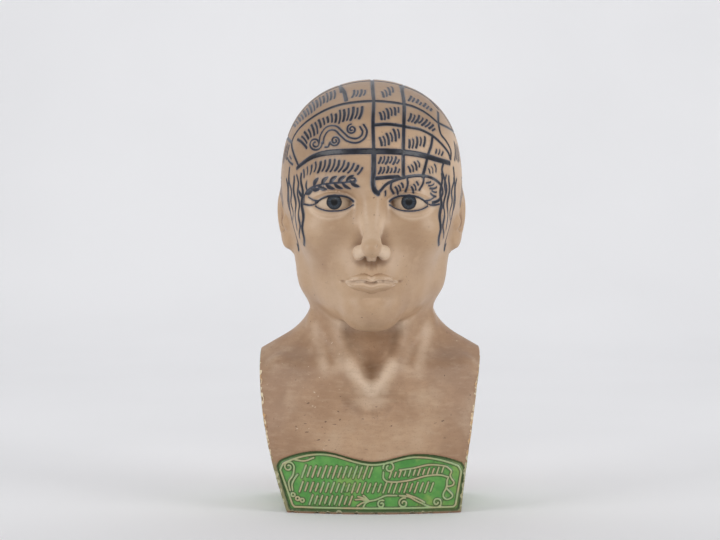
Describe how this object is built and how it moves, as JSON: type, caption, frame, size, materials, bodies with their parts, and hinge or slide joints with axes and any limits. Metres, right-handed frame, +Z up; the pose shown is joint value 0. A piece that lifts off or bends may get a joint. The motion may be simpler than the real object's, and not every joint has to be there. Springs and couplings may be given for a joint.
{
  "type": "phrenology head",
  "caption": "Glazed earthenware bust with flat-cut sides, its skull mapped out in dark lines, on a flat foot with a serpentine green plaque.",
  "frame": {"origin": "middle of the flat underside of the foot, on the middle line of the face", "axes": "+Z up, the face looks towards -Y, +X to the right of someone facing it"},
  "size_m": [0.156, 0.1732, 0.3004],
  "materials": {
    "glazed_earthenware": "satin glaze, stained with age"
  },
  "bodies": {
    "root": {"bust": "glazed_earthenware"}
  },
  "joints": []
}
